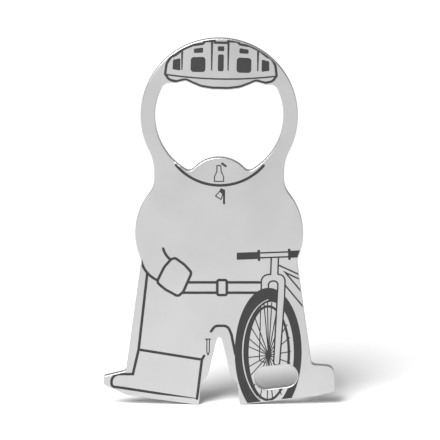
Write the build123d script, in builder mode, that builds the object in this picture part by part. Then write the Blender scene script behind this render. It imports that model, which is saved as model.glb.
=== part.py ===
"""Souvenir bottle opener: a flat steel figure of a cyclist with etched, paint-filled line artwork.

Millimetres, +Z up. The figure stands upright with its front towards -Y. The origin is at the bottom
centre of its box: under the heels, on the mid-plane of the sheet and on the figure's centre line.
"""
from build123d import *
from math import atan2, cos, pi, radians, sin, sqrt, tan
import os

os.makedirs("parts", exist_ok=True)

# ---------------------------------------------------------------- driving dimensions
overall_height = 120.0
overall_width = 74.8
plate_thickness = 2.5
edge_radius = 0.3  # tumbled edge, all round both faces

head_radius = 25.0
mouth_radius = 20.35  # the head is a ring, concentric with the bottle mouth
mouth_corner_radius = 2.6
chin_rise = 6.95  # how far the cap-prising bump stands above the bottom of the mouth's circle
chin_radius = 11.0
chin_valley_radius = 2.0

neck_half_width = 20.7
upper_neck_radius = 15.0
lower_neck_radius = 8.0
belly_drop = 11.3  # how much further the belly's widest level is below the head's centre than it is wide
belly_inset = 4.85  # how far the belly's side lies inside the foot of the leg's outer line
belly_radius = 20.7
waist_radius = 5.0

leg_splay = 8.0  # degrees from upright
toe_length = 5.65  # of a toe beyond the foot of the leg's outer line
heel_reach = 6.6
heel_radius = 0.5

left_sole_tilt = 8.0
left_toe_spring = (7.4, 25.0)  # how far behind the toe's tip the sole turns up, and its slope in degrees
left_instep_height = 11.3
left_toe_height = 9.6
left_toe_slant = 0.2
right_sole_tilt = 6.8
right_toe_spring = (5.9, 14.0)
right_instep_height = 13.4
right_toe_height = 12.8
right_toe_slant = 0.6

notch_height = 25.2  # where the two sides of the nail-puller notch would meet
notch_half_angle = 13.8
notch_tip_radius = 0.85
notch_step = (3.8, 5.8, 7.4)  # reach above the step, reach below it, height of its foot

slot_center = (18.35, 9.3)
slot_length = 13.8
slot_width = 7.45
slot_tilt = 6.6

ink_depth = 0.2
edge_margin = 0.03  # artwork stops this far inside the tumbled edge
main_line = 0.87
helmet_line = 0.8
bicycle_line = 0.5
fine_line = 0.35

helmet_center = 0.28  # the helmet sits a little to one side, and tips by a degree
helmet_tip = -1.0
helmet_corner = (17.65, 13.3)  # its widest point, from the head's centre
brim_lip = 0.65  # from the middle of the brim's line down to the edge of the bottle mouth

# Ellipses of the drawn wheel: centre x, centre z, half width, half height
tyre_ellipse = (15.8, 17.5, 10.8, 21.5)
tyre_hole_ellipse = (16.65, 17.15, 7.4, 17.2)
sidewall_ellipse = (17.8, 17.6, 10.45, 18.0)
sidewall_hole_ellipse = (17.85, 17.6, 10.1, 17.75)
rim_ellipse = (15.75, 17.25, 6.7, 15.6)
rim_line = 0.85
hub_center = (15.9, 16.6)
hub_radius = 1.05
spoke_overrun = 1.09  # the spoke nipples stand a little outside the rim's line
# Where each spoke meets the rim, in degrees round it: the drawn wheel is not laced evenly
spoke_angles = [2, 18, 34, 50, 66, 81, 92, 101, 130, 146, 161, 171, 185, 197, 209, 226, 248, 268]
spoke_angles += [283, 306, 328, 349]

grip_length = 7.1
grip_width = 2.35
bar_half_gap = 0.8  # from the handlebar's middle to each of its two lines
bar_tilt = 2.2
bar_left_end = (5.6, 5.9)  # height from the top of the fork's crown
crown_height = 4.5  # top of the fork's crown, above the tyre
bar_right_flange = 22.45
stem_x = (16.6, 18.9)

# The gloved hand, belt and buckle, with heights from the belly's widest level
glove_corners = [(-19.65, -15.05), (-17.6, -10.85), (-15.35, -8.3), (-14.05, -8.0), (-11.1, -10.2)]
glove_corners += [(-8.85, -12.8), (-11.55, -19.1), (-13.25, -20.65), (-17.55, -18.2), (-19.9, -16.1)]
glove_radii = [1.2, 6.0, 1.2, 1.2, 7.0, 1.3, 1.6, 1.2, 8.0, 1.2]
buckle_center = (0.9, -17.72)
buckle_size = (3.05, 4.95)  # between the middles of its lines
belt_half_width = 1.71

# Trouser leg and boot
seam_margins = (2.5, 3.15)  # from the leg's outer line, at the glove and at the cuff
cuff_outer_height = 18.5
cuff_inner_end = (-5.6, 15.15)
boot_heel = (-7.2, 2.1)
toe_margin = 2.5  # from the toe's tip

# ---------------------------------------------------------------- places worked out from them
foot_reach = overall_width / 2
leg_root_reach = foot_reach - toe_length  # where the outer line of a leg would meet the ground
belly_half_width = leg_root_reach - belly_inset
head_z = overall_height - head_radius
belly_z = head_z - belly_half_width - belly_drop
belly_x = belly_half_width - belly_radius
tyre_top = tyre_ellipse[1] + tyre_ellipse[3]
crown_z = tyre_top + crown_height
front_plane = Plane.XZ.offset(plate_thickness / 2)


# ---------------------------------------------------------------- helpers
def leg_x(height):
    """Reach of a leg's outer line at a height."""
    return leg_root_reach - height * tan(radians(leg_splay))


def sole_rise(reach, tilt):
    """Rise of a sole from the heel to a distance from the middle."""
    return (reach - heel_reach) * tan(radians(tilt))


def towards(center, target, distance):
    """The point at a distance from a centre, in the direction of a target."""
    angle = atan2(target[1] - center[1], target[0] - center[0])
    return (center[0] + distance * cos(angle), center[1] + distance * sin(angle))


def mirrored(point, side):
    return (side * point[0], point[1])


def arc_about(center, start, end):
    """The short arc about a centre from start to end."""
    middle = ((start[0] + end[0]) / 2, (start[1] + end[1]) / 2)
    radius = sqrt((start[0] - center[0]) ** 2 + (start[1] - center[1]) ** 2)
    return ThreePointArc(start, towards(center, middle, radius), end)


def on_ellipse(ellipse, angle):
    """The point of an ellipse (centre x, centre z, half width, half height) at an angle in degrees."""
    x, z, half_width, half_height = ellipse
    return (x + half_width * cos(radians(angle)), z + half_height * sin(radians(angle)))


def grown(ellipse, distance):
    """The ellipse with a distance added to both its half width and its half height."""
    x, z, half_width, half_height = ellipse
    return (x, z, half_width + distance, half_height + distance)


def stroke(points, width, radius=0.0):
    """A pen line with round ends along straight runs, its corners rounded to a radius or radii."""
    with BuildLine() as path:
        if radius and len(points) > 2:
            FilletPolyline(*points, radius=radius)
        else:
            Polyline(*points)
    trace(path.line, width)
    with Locations(points[0], points[-1]):
        Circle(width / 2)


def arc_stroke(start, middle, end, width):
    """A pen line with round ends along an arc through three points."""
    with BuildLine() as path:
        ThreePointArc(start, middle, end)
    trace(path.line, width)
    with Locations(start, end):
        Circle(width / 2)


def filled(points, radius=0.0, mode=Mode.ADD):
    """A filled shape with straight sides, its corners rounded to a radius or radii."""
    with BuildLine() as border:
        if radius:
            FilletPolyline(*points, radius=radius, close=True)
        else:
            Polyline(*points, close=True)
    make_face(border.edges(), mode=mode)


def ellipse_fill(ellipse, mode=Mode.ADD):
    x, z, half_width, half_height = ellipse
    with Locations((x, z)):
        Ellipse(half_width, half_height, mode=mode)


def in_helmet(x, z):
    """A point of the helmet's own drawing, about the head's centre, in the sheet's front view."""
    tip = radians(helmet_tip)
    return (helmet_center + x * cos(tip) - z * sin(tip), head_z + x * sin(tip) + z * cos(tip))


def distance_to_head(vertex):
    """Distance of a vertex of a front-view sketch from the head's centre."""
    return sqrt(vertex.X**2 + (vertex.Y - head_z) ** 2)


def save(part, name):
    part.label = name
    export_step(part, "parts/" + name + ".step")


# ---------------------------------------------------------------- outline of the helmet
# Right half, from the top notch down to the widest corner, then along the brim to its middle.
helmet_top = [(2.05, 23.65), (2.15, 24.2), (5.1, 24.05), (5.9, 23.2), (9.1, 22.7), (12.1, 21.3)]
helmet_top += [(14.4, 19.5), (15.9, 18.8), (17.2, 16.7)]
helmet_brim = [(16.4, 11.55), (14.1, 11.0), (11.1, 11.8), (9.5, 11.0), (6.2, 9.65), (2.6, 9.15)]
helmet_right = helmet_top + [helmet_corner] + helmet_brim
helmet_radii = [0, 0, 0.2, 0.4, 2.0, 3.0, 0.8, 1.0, 2.5, 0.5, 2.0, 3.0, 2.5, 1.5, 6.0, 8.0]
helmet_points = [in_helmet(x, z) for x, z in helmet_right]
helmet_points += [in_helmet(-x, z) for x, z in reversed(helmet_right)]
helmet_corner_radii = helmet_radii + helmet_radii[::-1]

with BuildSketch() as helmet_shape:
    filled(helmet_points, helmet_corner_radii)

# ---------------------------------------------------------------- steel sheet
# Neck: circles that touch the head, a short upright and the belly.
upper_neck = (
    neck_half_width + upper_neck_radius,
    head_z - sqrt((head_radius + upper_neck_radius) ** 2 - (neck_half_width + upper_neck_radius) ** 2),
)
lower_neck_x = neck_half_width + lower_neck_radius
lower_neck = (
    lower_neck_x,
    belly_z + sqrt((belly_radius + lower_neck_radius) ** 2 - (lower_neck_x - belly_x) ** 2),
)

# Waist: a circle outside the sheet that touches the belly and the outer line of the leg.
splay = radians(leg_splay)
waist_reach = belly_radius + waist_radius
offset_line = (leg_root_reach + waist_radius * cos(splay), waist_radius * sin(splay))
to_belly = (belly_x - offset_line[0], belly_z - offset_line[1])
along = -to_belly[0] * sin(splay) + to_belly[1] * cos(splay)
aside = to_belly[0] * cos(splay) + to_belly[1] * sin(splay)
waist_run = along - sqrt(waist_reach**2 - aside**2)
waist = (offset_line[0] - waist_run * sin(splay), offset_line[1] + waist_run * cos(splay))
waist_end = (waist[0] - waist_radius * cos(splay), waist[1] - waist_radius * sin(splay))


def flank(side):
    """Outline of one side, from the head's circle down to the top of the leg."""
    belly_center = (side * belly_x, belly_z)
    neck_top = mirrored(towards((0, head_z), upper_neck, head_radius), side)
    neck_bottom = mirrored(towards((belly_x, belly_z), lower_neck, belly_radius), side)
    belly_bottom = mirrored(towards((belly_x, belly_z), waist, belly_radius), side)
    arc_about(mirrored(upper_neck, side), neck_top, (side * neck_half_width, upper_neck[1]))
    if upper_neck[1] > lower_neck[1]:
        Line((side * neck_half_width, upper_neck[1]), (side * neck_half_width, lower_neck[1]))
    arc_about(mirrored(lower_neck, side), (side * neck_half_width, lower_neck[1]), neck_bottom)
    arc_about(belly_center, neck_bottom, (side * belly_half_width, belly_z))
    arc_about(belly_center, (side * belly_half_width, belly_z), belly_bottom)
    arc_about(mirrored(waist, side), belly_bottom, mirrored(waist_end, side))
    return neck_top


def heel_drop(sole_tilt):
    """How far the rounding lifts the lowest point of a heel above its sharp corner."""
    lean = atan2(heel_reach - step_bottom, step_height)
    tilt = radians(sole_tilt)
    half_corner = (pi / 2 + lean - tilt) / 2
    return heel_radius * (sin(tilt + half_corner) / sin(half_corner) - 1)


def foot_corners(sole_tilt, toe_spring, instep_height, toe_height, toe_slant):
    """Corners of a leg and foot, from the instep round the toe to the heel, as reach and height."""
    spring_length, spring_slope = toe_spring
    spring_reach = foot_reach - spring_length
    heel_z = -heel_drop(sole_tilt)
    spring_height = heel_z + sole_rise(spring_reach, sole_tilt)
    toe_bottom = spring_height + spring_length * tan(radians(spring_slope))
    return [
        (leg_x(instep_height), instep_height),
        (foot_reach - toe_slant, toe_height),
        (foot_reach, (toe_height + toe_bottom) / 2),
        (foot_reach, toe_bottom),
        (spring_reach, spring_height),
        (heel_reach, heel_z),
    ]


step_top, step_bottom, step_height = notch_step
step_top_z = notch_height - step_top / tan(radians(notch_half_angle))
notch = [(step_bottom, step_height), (step_top, step_top_z)]
notch_radii = [0.8, 1.0]
left_foot = foot_corners(
    left_sole_tilt, left_toe_spring, left_instep_height, left_toe_height, left_toe_slant
)
right_foot = foot_corners(
    right_sole_tilt, right_toe_spring, right_instep_height, right_toe_height, right_toe_slant
)
left_foot_radii = [1.6, 0.6, 0, 1.0, 2.0, heel_radius]
right_foot_radii = [1.6, 2.2, 0, 1.2, 3.0, heel_radius]

legs = [waist_end] + right_foot + notch + [(0, notch_height)]
legs += [(-x, z) for x, z in reversed([waist_end] + left_foot + notch)]
legs_radii = right_foot_radii + notch_radii + [notch_tip_radius]
legs_radii += notch_radii[::-1] + left_foot_radii[::-1]

with BuildSketch() as outline:
    with BuildLine():
        neck_top_right = flank(1)
        neck_top_left = flank(-1)
        ThreePointArc(neck_top_right, (0, overall_height), neck_top_left)
        FilletPolyline(*legs, radius=legs_radii)
    make_face()

# Bottle mouth: a circle, less the chin bump below and the helmet's brim above.
brim_end = (mouth_radius + 1, helmet_brim[1][1] - brim_lip)
brim_edge = [brim_end] + [(x, z - brim_lip) for x, z in helmet_brim[1:]]
brim_top = head_radius - 2
brim_points = [in_helmet(x, z) for x, z in [(mouth_radius + 1, brim_top)] + brim_edge]
brim_points += [in_helmet(-x, z) for x, z in reversed([(mouth_radius + 1, brim_top)] + brim_edge)]
brim_radii = [0, 0, 1.8, 1.6, 1.2, 6.0, 8.0]

with BuildSketch() as mouth:
    with Locations((0, head_z)):
        Circle(mouth_radius)
    with Locations((0, head_z - mouth_radius + chin_rise - chin_radius)):
        Circle(chin_radius, mode=Mode.SUBTRACT)
    filled(brim_points, brim_radii + brim_radii[::-1], mode=Mode.SUBTRACT)
    corners = [v for v in mouth.vertices() if abs(distance_to_head(v) - mouth_radius) < 0.01]
    fillet([v for v in corners if v.Y > head_z], radius=mouth_corner_radius)
    corners = [v for v in mouth.vertices() if abs(distance_to_head(v) - mouth_radius) < 0.01]
    fillet([v for v in corners if v.Y < head_z - 0.8 * mouth_radius], radius=chin_valley_radius)

with BuildSketch() as sheet:
    add(outline.sketch)
    add(mouth.sketch, mode=Mode.SUBTRACT)
    with Locations(slot_center):
        SlotOverall(slot_length, slot_width, rotation=slot_tilt, mode=Mode.SUBTRACT)

with BuildPart() as blank:
    with BuildSketch(front_plane):
        add(sheet.sketch)
    extrude(amount=-plate_thickness)
    fillet(blank.faces().filter_by(Axis.Y).edges(), radius=edge_radius)

# Artwork lies on the flat of the front, inside the tumbled edge.
with BuildSketch() as art_zone:
    add(sheet.sketch)
    offset(amount=-(edge_radius + edge_margin))


# ---------------------------------------------------------------- drawing helpers for the artwork
covers = []  # what lies over the motifs still to be drawn


def clip():
    """Keep a motif on the flat of the sheet, and out from under what is drawn over it."""
    add(art_zone.sketch, mode=Mode.INTERSECT)
    if covers:
        add(covers, mode=Mode.SUBTRACT)


def outline_of(shape, width):
    """A pen line round the edge of a filled shape."""
    add(offset(shape, amount=width / 2, mode=Mode.PRIVATE))
    add(offset(shape, amount=-width / 2, mode=Mode.PRIVATE), mode=Mode.SUBTRACT)


def bar_point(x, above=0.0):
    """A point of the drawn handlebar at x, a height above its middle line."""
    return (x, crown_z + bar_left_end[1] + (x - bar_left_end[0]) * tan(radians(bar_tilt)) + above)


# ---------------------------------------------------------------- bicycle, nearest line first
blade_foot = hub_center[1] - 3.3
blade_corners = [(17.2, crown_z), (18.85, crown_z), (21.15, crown_z - 0.3), (21.0, crown_z - 7.8)]
blade_corners += [(19.45, blade_foot), (17.5, blade_foot), (18.9, crown_z - 2.2), (17.2, crown_z - 2.25)]
blade_radii = [0, 0, 2.2, 8.0, 0.95, 0.95, 1.3, 0]

with BuildSketch() as fork_blade:
    filled(blade_corners, blade_radii)

with BuildSketch() as fork_lines:
    stroke([(16.45, crown_z), (13.5, crown_z - 0.5), (13.5, tyre_top - 1)], bicycle_line, 2.3)
    stroke([(17.3, crown_z - 2.25), (15.8, crown_z - 2.3), (15.8, tyre_top - 1)], bicycle_line, 1.4)
    ellipse_fill(tyre_ellipse, mode=Mode.SUBTRACT)
    stroke([(13.3, 32.6), (12.95, 14.6), (15.0, 14.2)], fine_line, 1.2)
    stroke(blade_corners[1:], bicycle_line, blade_radii[2:-1])
    clip()
covers += [fork_lines.sketch, fork_blade.sketch]

with BuildSketch() as grips:
    left_flange = bar_left_end[0] + grip_length
    edge_reach = belly_half_width + 1
    for start, end in [(bar_left_end[0], left_flange), (bar_right_flange, edge_reach)]:
        half = grip_width / 2
        corners = [bar_point(start, half), bar_point(end, half), bar_point(end, -half)]
        filled(corners + [bar_point(start, -half)], 0.25)
    with Locations(bar_point(left_flange), bar_point(bar_right_flange)):
        SlotOverall(3.8, 0.85, rotation=90 + bar_tilt)
    clip()
covers += [grips.sketch]

with BuildSketch() as bar_tube:
    for above in (bar_half_gap, -bar_half_gap):
        stroke([bar_point(left_flange, above), bar_point(bar_right_flange, above)], bicycle_line)
    clip()

with BuildSketch() as bar_cover:
    ends = [bar_point(left_flange, bar_half_gap), bar_point(bar_right_flange, bar_half_gap)]
    ends += [bar_point(bar_right_flange, -bar_half_gap), bar_point(left_flange, -bar_half_gap)]
    filled(ends)
covers += [bar_tube.sketch, bar_cover.sketch]

with BuildSketch() as stem_lines:
    for x in stem_x:
        stroke([bar_point(x + 0.1), (x - 0.1, crown_z - 0.1)], bicycle_line)
    clip()

with BuildSketch() as stem_cover:
    left, right = stem_x
    filled([bar_point(left), bar_point(right), (right, crown_z - 0.5), (left, crown_z - 0.5)])
covers += [stem_lines.sketch, stem_cover.sketch]

with BuildSketch() as hub:
    with Locations(hub_center):
        Circle(hub_radius)
    clip()
covers += [hub.sketch]

# The tyre is a solid band; a thin bare crescent down its left side is the edge of its sidewall.
with BuildSketch() as tyre:
    ellipse_fill(tyre_ellipse)
    ellipse_fill(tyre_hole_ellipse, mode=Mode.SUBTRACT)
    with BuildSketch(mode=Mode.PRIVATE) as sidewall:
        ellipse_fill(sidewall_ellipse)
        ellipse_fill(sidewall_hole_ellipse, mode=Mode.SUBTRACT)
        with Locations(tyre_ellipse[:2]):
            left_half = (Align.MAX, Align.CENTER)
            Rectangle(overall_height, overall_height, align=left_half, mode=Mode.INTERSECT)
    add(sidewall.sketch, mode=Mode.SUBTRACT)
    clip()

with BuildSketch() as tyre_cover:
    ellipse_fill(tyre_ellipse)
    ellipse_fill(tyre_hole_ellipse, mode=Mode.SUBTRACT)
covers += [tyre_cover.sketch]

with BuildSketch() as rim:
    ellipse_fill(grown(rim_ellipse, rim_line / 2))
    ellipse_fill(grown(rim_ellipse, -rim_line / 2), mode=Mode.SUBTRACT)
    clip()
covers += [rim.sketch]

with BuildSketch() as spokes:
    rim_x, rim_z, rim_half_width, rim_half_height = rim_ellipse
    spoke_ends = (rim_x, rim_z, rim_half_width * spoke_overrun, rim_half_height * spoke_overrun)
    for angle in spoke_angles:
        stroke([hub_center, on_ellipse(spoke_ends, angle)], fine_line)
    clip()

with BuildSketch() as wheel_cover:
    ellipse_fill(tyre_ellipse)
covers += [wheel_cover.sketch]

with BuildSketch() as frame_tubes:
    stroke([(19.0, crown_z + 3.0), (27.5, crown_z - 1.0)], bicycle_line)
    stroke([(27.5, crown_z - 2.5), (21.2, crown_z + 0.55), (28.5, crown_z - 8.4)], bicycle_line)
    stroke([(21.2, crown_z - 3.7), (29.5, crown_z - 13.9)], bicycle_line)
    clip()
covers += [frame_tubes.sketch]

# ---------------------------------------------------------------- arm, glove and belt
with BuildSketch() as glove:
    filled([(x, belly_z + z) for x, z in glove_corners], glove_radii)

with BuildSketch() as glove_line:
    outline_of(glove.sketch, main_line)
    clip()
covers += [glove_line.sketch, glove.sketch]

with BuildSketch() as arm_lines:
    arc_stroke((-17.95, belly_z - 4.9), (-17.25, belly_z - 6.6), (-15.4, belly_z - 8.7), main_line)
    sleeve_x = -belly_half_width
    sleeve_start = (sleeve_x + 1.9, belly_z - 8.9)
    arc_stroke(sleeve_start, (sleeve_x + 4.25, belly_z - 13.35), (-19.6, belly_z - 15.4), main_line)
    clip()
covers += [arm_lines.sketch]

buckle_z = belly_z + buckle_center[1]
with BuildSketch() as buckle:
    with Locations((buckle_center[0], buckle_z)):
        RectangleRounded(buckle_size[0], buckle_size[1], 0.6)

with BuildSketch() as buckle_line:
    outline_of(buckle.sketch, main_line)
    clip()
covers += [buckle_line.sketch, buckle.sketch]

with BuildSketch() as belt:
    for z in (buckle_z + belt_half_width, buckle_z - belt_half_width):
        stroke([(-14.0, z), (13.1, z)], main_line)
    clip()
covers += [belt.sketch]

# ---------------------------------------------------------------- trousers and boot
seam_top_z = belly_z - 12.8
seam_top = (seam_margins[0] - leg_x(seam_top_z), seam_top_z)
cuff_outer_end = (seam_margins[1] - leg_x(cuff_outer_height), cuff_outer_height)
toe_x = toe_margin - foot_reach

with BuildSketch() as boot:
    stroke([cuff_outer_end, cuff_inner_end], main_line)
    stroke([(-4.9, 16.4), cuff_inner_end, boot_heel], main_line)
    instep = [cuff_outer_end, (2.4 - leg_x(10.3), 10.3), (toe_x, 10.3)]
    instep += [(toe_x + 0.1, 6.15), (toe_x + 3.9, 5.66)]
    stroke(instep, main_line, [0, 2.6, 1.1])
    # The line of the sole thins out towards the heel.
    heel_x = boot_heel[0] + 0.1
    filled([(toe_x + 3.6, 6.15), (toe_x + 3.6, 5.24), (-20.0, 3.48), (heel_x, 2.0), (heel_x, 2.25)])
    clip()
covers += [boot.sketch]

with BuildSketch() as seam:
    stroke([seam_top, cuff_outer_end], main_line)
    clip()
covers += [seam.sketch]

with BuildSketch() as crotch:
    top = notch_height + 1.2
    corners = [(-2.65, top - 1.85), (-1.35, top), (2.75, top), (3.9, top - 2.8), (5.2, top - 9.4)]
    stroke(corners, main_line, [1.9, 2.0, 4.0])
    clip()
covers += [crotch.sketch]

# ---------------------------------------------------------------- small signs for the three tools
with BuildSketch() as nail:
    top = notch_height - 3.25
    stroke([(-4.3, top), (-2.9, top)], 0.46)
    with BuildSketch(mode=Mode.PRIVATE) as shank:
        corners = [(-3.97, 0), (-3.18, 0), (-3.24, -4.2), (-3.65, -5.3), (-4.0, -4.2)]
        filled([(x, top + z) for x, z in corners])
    outline_of(shank.sketch, fine_line)
    clip()

with BuildSketch() as collar:
    arc_stroke((-13.75, head_z - 15.8), (0.2, head_z - 22.4), (14.1, head_z - 16.0), main_line)
    clip()
covers += [collar.sketch]

with BuildSketch() as bottle:
    with BuildSketch(mode=Mode.PRIVATE) as bottle_shape:
        corners = [(-0.75, -15.95), (0.5, -15.95), (0.65, -18.0), (1.4, -19.5), (1.4, -21.1), (-1.55, -21.1)]
        corners += [(-1.5, -19.4), (-0.75, -17.9)]
        filled([(x, head_z + z) for x, z in corners], 0.1)
    outline_of(bottle_shape.sketch, fine_line)
    clip()

with BuildSketch() as bottle_cap:
    stroke([(0.95, head_z - 15.3), (2.05, head_z - 16.1)], 0.72)
    clip()

with BuildSketch() as ring_pull:
    stroke([(1.53, head_z - 24.1), (1.53, head_z - 28.3)], 0.66)
    corners = [(0.5, -23.3), (1.86, -23.85), (1.86, -24.9), (1.0, -24.95), (0.0, -24.3)]
    filled([(x, head_z + z) for x, z in corners])
    with BuildSketch(mode=Mode.PRIVATE) as ring:
        corners = [(0.2, -24.3), (-1.2, -25.85), (0.6, -26.95), (1.15, -25.2)]
        filled([(x, head_z + z) for x, z in corners])
    outline_of(ring.sketch, fine_line)
    clip()

# ---------------------------------------------------------------- helmet
with BuildSketch() as helmet_lines:
    outline_of(helmet_shape.sketch, helmet_line)
    band = [in_helmet(x, z) for x, z in ((-17.6, 13.2), (0, 12.0), (17.6, 13.2))]
    arc_stroke(*band, bicycle_line)
    clip()
covers += [helmet_lines.sketch]

with BuildSketch() as helmet_ribs:
    rib_shift = -0.35
    for x, top, bottom in ((12.0, 21.6, 14.7), (2.6, 24.0, 14.7)):
        for side in (-1, 1):
            corners = [(x - 0.35, top), (x + 0.35, top), (x + 0.2, bottom), (x - 0.2, bottom)]
            filled([in_helmet(side * rib_x + rib_shift, z) for rib_x, z in corners])
    add(helmet_shape.sketch, mode=Mode.INTERSECT)
    clip()

with BuildSketch() as helmet_vents:
    middle_vents = [[(-1.1, 22.5), (0.95, 22.5), (0.95, 20.95), (-1.1, 20.95)]]
    middle_vents += [[(-1.0, 19.9), (0.85, 19.9), (0.85, 14.5), (-1.0, 14.5)]]
    side_vents = [[(5.75, 22.0), (8.6, 21.6), (8.7, 20.2), (5.7, 20.35)]]
    side_vents += [[(4.95, 19.05), (9.6, 18.85), (9.6, 14.1), (4.9, 14.15)]]
    side_vents += [[(12.85, 18.5), (15.2, 17.9), (15.35, 14.9), (12.85, 14.5)]]
    vent_radii = [0.35, 1.0, 0.35]
    for corners, radius in zip(middle_vents, [0.35, 0.5]):
        filled([in_helmet(x, z) for x, z in corners], radius)
    for corners, radius in zip(side_vents, vent_radii):
        for side in (-1, 1):
            filled([in_helmet(side * x, z) for x, z in corners], radius)
    clip()

# ---------------------------------------------------------------- paint-filled artwork as solids
artwork = {
    "helmet_outline_ink": helmet_lines,
    "helmet_ribs_ink": helmet_ribs,
    "helmet_vents_ink": helmet_vents,
    "collar_line_ink": collar,
    "bottle_sign_ink": bottle,
    "bottle_cap_sign_ink": bottle_cap,
    "ring_pull_sign_ink": ring_pull,
    "arm_lines_ink": arm_lines,
    "glove_line_ink": glove_line,
    "belt_lines_ink": belt,
    "buckle_line_ink": buckle_line,
    "trouser_seam_ink": seam,
    "crotch_line_ink": crotch,
    "boot_lines_ink": boot,
    "nail_sign_ink": nail,
    "handlebar_grips_ink": grips,
    "handlebar_tube_ink": bar_tube,
    "stem_lines_ink": stem_lines,
    "fork_lines_ink": fork_lines,
    "frame_tubes_ink": frame_tubes,
    "tyre_ink": tyre,
    "rim_line_ink": rim,
    "spokes_ink": spokes,
    "hub_ink": hub,
}

inks = []
for name, drawing in artwork.items():
    with BuildPart() as ink:
        with BuildSketch(front_plane):
            add(drawing.sketch)
        extrude(amount=-ink_depth, clean=False)
    save(ink.part, name)
    inks.append(ink.part)

with BuildPart() as steel_plate:
    add(blank.part)
    add(inks, mode=Mode.SUBTRACT, clean=False)
save(steel_plate.part, "steel_plate")
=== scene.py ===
"""Looks of the souvenir bottle opener: satin steel sheet with dark paint in its etched lines."""
from math import radians

import bpy
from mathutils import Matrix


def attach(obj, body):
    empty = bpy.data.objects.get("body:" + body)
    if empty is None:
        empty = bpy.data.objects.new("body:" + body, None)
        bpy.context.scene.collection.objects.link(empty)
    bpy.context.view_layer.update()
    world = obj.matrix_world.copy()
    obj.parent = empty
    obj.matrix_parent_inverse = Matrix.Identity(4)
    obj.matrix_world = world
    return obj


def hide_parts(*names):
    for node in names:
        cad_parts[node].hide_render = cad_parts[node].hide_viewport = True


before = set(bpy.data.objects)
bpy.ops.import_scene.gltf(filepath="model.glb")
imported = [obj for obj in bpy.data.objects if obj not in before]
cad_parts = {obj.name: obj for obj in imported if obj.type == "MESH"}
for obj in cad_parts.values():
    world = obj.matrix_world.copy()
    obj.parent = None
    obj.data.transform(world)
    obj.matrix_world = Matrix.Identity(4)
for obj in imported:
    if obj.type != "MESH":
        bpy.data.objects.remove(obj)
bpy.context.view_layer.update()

MM = 0.001
PAINT_DROP = 0.04 * MM  # the paint dries a little below the steel's face

CAMERA_HEIGHT = 0.283
CAMERA_DISTANCE = 1.0  # from the front face
CAMERA_X = 0.24 * MM
CAMERA_PITCH = 12.5  # degrees below the horizon
CAMERA_LENS = 262.2  # on a 36 mm sensor

KEY_ELEVATION = 46  # degrees
KEY_SIDE = 40  # degrees to the left of the front
KEY_SPREAD = 42  # degrees across, which sets how soft the shadow is
KEY_STRENGTH = 4.1
SKY_STRENGTH = 0.30

# A soft box over the floor just in front of the figure, for the brighter foot of its face
BOX_PLACE = (-0.06, -0.10, 0.20)
BOX_SIZE = 0.12
BOX_STRENGTH = 0.3  # watts

FLOOR_SIZE = 6.0

NOISE_RANGE = (0.3, 0.7)  # what a noise mostly keeps to

STEEL_DARK = (0.460, 0.460, 0.460)
STEEL_LIGHT = (0.505, 0.505, 0.505)
STEEL_MATT = (0.40, 0.50)  # roughness of the grain, from its smooth to its dull spots
CLOUD_MATT = 0.03  # roughness added or taken by the slow clouding
WORN_SHINE = 0.04  # roughness taken from the tumbled rounding of the edge
GRAIN_HEIGHT = 0.006 * MM
CUT_MARK_HEIGHT = 0.01 * MM

PAINT_DARK = (0.015, 0.015, 0.016)
PAINT_LIGHT = (0.020, 0.020, 0.021)
PAINT_MATT = (0.52, 0.68)
POOLING_HEIGHT = 0.02 * MM
SPECKLE_HEIGHT = 0.008 * MM

FLOOR_GREY = 0.90


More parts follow.
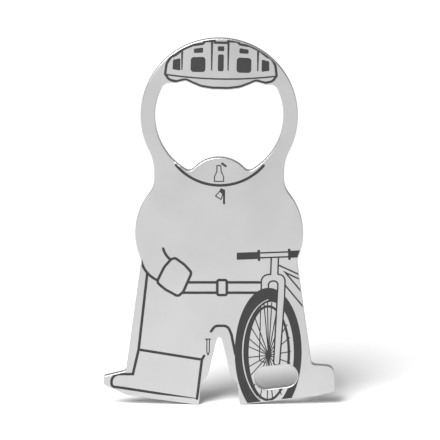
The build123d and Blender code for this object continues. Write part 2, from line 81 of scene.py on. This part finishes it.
# ---------------------------------------------------------------- node helpers
class Nodes:
    """Short names for building one material's nodes."""

    def __init__(self, name):
        self.material = bpy.data.materials.new(name)
        self.material.use_nodes = True
        self.tree = self.material.node_tree
        self.shader = self.tree.nodes["Principled BSDF"]

    def add(self, kind, **inputs):
        node = self.tree.nodes.new(kind)
        for name, value in inputs.items():
            self.put(node, name.replace("_", " "), value)
        return node

    def put(self, node, socket, value):
        if isinstance(value, bpy.types.NodeSocket):
            self.tree.links.new(value, node.inputs[socket])
        else:
            node.inputs[socket].default_value = value

    def math(self, operation, a, b=0.0):
        node = self.tree.nodes.new("ShaderNodeMath")
        node.operation = operation
        self.put(node, 0, a)
        self.put(node, 1, b)
        return node.outputs[0]

    def position(self, stretch=(1, 1, 1)):
        """The place on the object in metres, stretched along its axes."""
        place = self.tree.nodes.new("ShaderNodeTexCoord").outputs["Object"]
        mapping = self.add("ShaderNodeMapping", Vector=place, Scale=stretch)
        return mapping.outputs["Vector"]

    def noise(self, scale, detail=2.0, roughness=0.5, stretch=(1, 1, 1)):
        node = self.add("ShaderNodeTexNoise", Vector=self.position(stretch), Scale=scale)
        self.put(node, "Detail", detail)
        self.put(node, "Roughness", roughness)
        return node.outputs["Fac"]

    def ramp(self, value, low, high, from_low=0.0, from_high=1.0):
        """A value carried from one range to another, and held at its ends."""
        node = self.tree.nodes.new("ShaderNodeMapRange")
        self.put(node, "Value", value)
        self.put(node, "From Min", from_low)
        self.put(node, "From Max", from_high)
        self.put(node, "To Min", low)
        self.put(node, "To Max", high)
        return node.outputs["Result"]

    def tint(self, factor, dark, light):
        node = self.tree.nodes.new("ShaderNodeMix")
        node.data_type = "RGBA"
        self.tree.links.new(factor, node.inputs["Factor"])
        node.inputs["A"].default_value = (*dark, 1)
        node.inputs["B"].default_value = (*light, 1)
        return node.outputs["Result"]

    def bump(self, height, distance, strength=1.0, under=None):
        node = self.add("ShaderNodeBump", Height=height, Distance=distance, Strength=strength)
        if under is not None:
            self.put(node, "Normal", under)
        return node.outputs["Normal"]

    def facing(self):
        """1 on the two flat faces, 0 on the cut edge, and between them on its rounding."""
        normal = self.tree.nodes.new("ShaderNodeTexCoord").outputs["Normal"]
        parts = self.add("ShaderNodeSeparateXYZ", Vector=normal)
        return self.math("ABSOLUTE", parts.outputs["Y"])


# ---------------------------------------------------------------- materials
def satin_steel():
    """Tumbled stainless sheet: fine matt grain on the faces, cut marks across the edge, worn rounding."""
    n = Nodes("satin_steel")
    facing = n.facing()
    flat = n.ramp(facing, 0, 1, 0.93, 0.99)
    cut = n.ramp(facing, 1, 0, 0.05, 0.35)

    clouds = n.noise(55, detail=3)
    grain = n.noise(5200, detail=3, roughness=0.6)
    cut_marks = n.noise(2600, detail=2, stretch=(1, 0.03, 1))

    color = n.tint(n.ramp(clouds, 0, 1, *NOISE_RANGE), STEEL_DARK, STEEL_LIGHT)
    n.put(n.shader, "Base Color", color)
    n.shader.inputs["Metallic"].default_value = 1.0

    worn = n.math("SUBTRACT", 1.0, n.math("MAXIMUM", flat, cut))
    matt = n.math("ADD", n.ramp(grain, *STEEL_MATT), n.ramp(clouds, -CLOUD_MATT, CLOUD_MATT, *NOISE_RANGE))
    n.put(n.shader, "Roughness", n.math("SUBTRACT", matt, n.math("MULTIPLY", worn, WORN_SHINE)))

    pitted = n.bump(grain, GRAIN_HEIGHT, 0.5)
    marks = n.math("MULTIPLY", cut_marks, cut)
    n.put(n.shader, "Normal", n.bump(marks, CUT_MARK_HEIGHT, 0.4, under=pitted))
    return n.material


def matt_paint():
    """Dark paint that has dried matt in the etching, slightly uneven in depth and tone."""
    n = Nodes("matt_paint")
    speckle = n.noise(2600, detail=3, roughness=0.65)
    pooling = n.noise(320, detail=2)
    color = n.tint(n.ramp(pooling, 0, 1, *NOISE_RANGE), PAINT_DARK, PAINT_LIGHT)
    n.put(n.shader, "Base Color", color)
    n.put(n.shader, "Roughness", n.ramp(speckle, *PAINT_MATT, *NOISE_RANGE))
    n.shader.inputs["Specular IOR Level"].default_value = 0.4
    dried = n.bump(pooling, POOLING_HEIGHT, 0.4)
    n.put(n.shader, "Normal", n.bump(speckle, SPECKLE_HEIGHT, 0.5, under=dried))
    return n.material


def pale_floor():
    n = Nodes("pale_floor")
    n.shader.inputs["Base Color"].default_value = (FLOOR_GREY, FLOOR_GREY, FLOOR_GREY, 1)
    n.shader.inputs["Roughness"].default_value = 0.9
    n.shader.inputs["Specular IOR Level"].default_value = 0.1
    return n.material


# ---------------------------------------------------------------- pieces
def dress(piece, material):
    piece.data.materials.clear()
    piece.data.materials.append(material)


def recessed_paint(node, material):
    """A copy of an ink node whose face lies a little below the steel's."""
    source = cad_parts[node]
    piece = source.copy()
    piece.data = source.data.copy()
    piece.name = node.replace("_ink", "_paint")
    piece.parent = None
    bpy.context.scene.collection.objects.link(piece)
    front = min(v.co.y for v in piece.data.vertices)
    for vertex in piece.data.vertices:
        if vertex.co.y < front + PAINT_DROP:
            vertex.co.y = front + PAINT_DROP
    dress(piece, material)
    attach(piece, "root")
    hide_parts(node)


paint = matt_paint()
dress(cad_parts["steel_plate"], satin_steel())
for node in sorted(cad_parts):
    if node.endswith("_ink"):
        recessed_paint(node, paint)


# ---------------------------------------------------------------- floor, light and camera
def make_floor():
    bpy.ops.mesh.primitive_plane_add(size=FLOOR_SIZE, location=(0, 0, 0))
    floor = bpy.context.object
    floor.name = "floor"
    floor.data.materials.append(pale_floor())


def make_key_light():
    light = bpy.data.lights.new("key", "SUN")
    light.energy = KEY_STRENGTH
    light.angle = radians(KEY_SPREAD)
    key = bpy.data.objects.new("key", light)
    key.rotation_euler = (radians(90 - KEY_ELEVATION), 0, radians(-KEY_SIDE))
    bpy.context.scene.collection.objects.link(key)


def make_soft_box():
    light = bpy.data.lights.new("soft_box", "AREA")
    light.size = BOX_SIZE
    light.energy = BOX_STRENGTH
    box = bpy.data.objects.new("soft_box", light)
    box.location = BOX_PLACE
    bpy.context.scene.collection.objects.link(box)


def make_sky():
    world = bpy.data.worlds.new("studio")
    world.use_nodes = True
    background = world.node_tree.nodes["Background"]
    background.inputs["Color"].default_value = (1, 1, 1, 1)
    background.inputs["Strength"].default_value = SKY_STRENGTH
    bpy.context.scene.world = world


def make_camera():
    front = min(v.co.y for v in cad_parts["steel_plate"].data.vertices)
    camera = bpy.data.objects.new("camera", bpy.data.cameras.new("camera"))
    camera.data.sensor_width = 36
    camera.data.lens = CAMERA_LENS
    camera.data.clip_start = 0.01
    camera.location = (CAMERA_X, front - CAMERA_DISTANCE, CAMERA_HEIGHT)
    camera.rotation_euler = (radians(90 - CAMERA_PITCH), 0, 0)
    bpy.context.scene.collection.objects.link(camera)
    bpy.context.scene.camera = camera


make_floor()
make_key_light()
make_soft_box()
make_sky()
make_camera()
bpy.context.scene.view_settings.view_transform = "Standard"
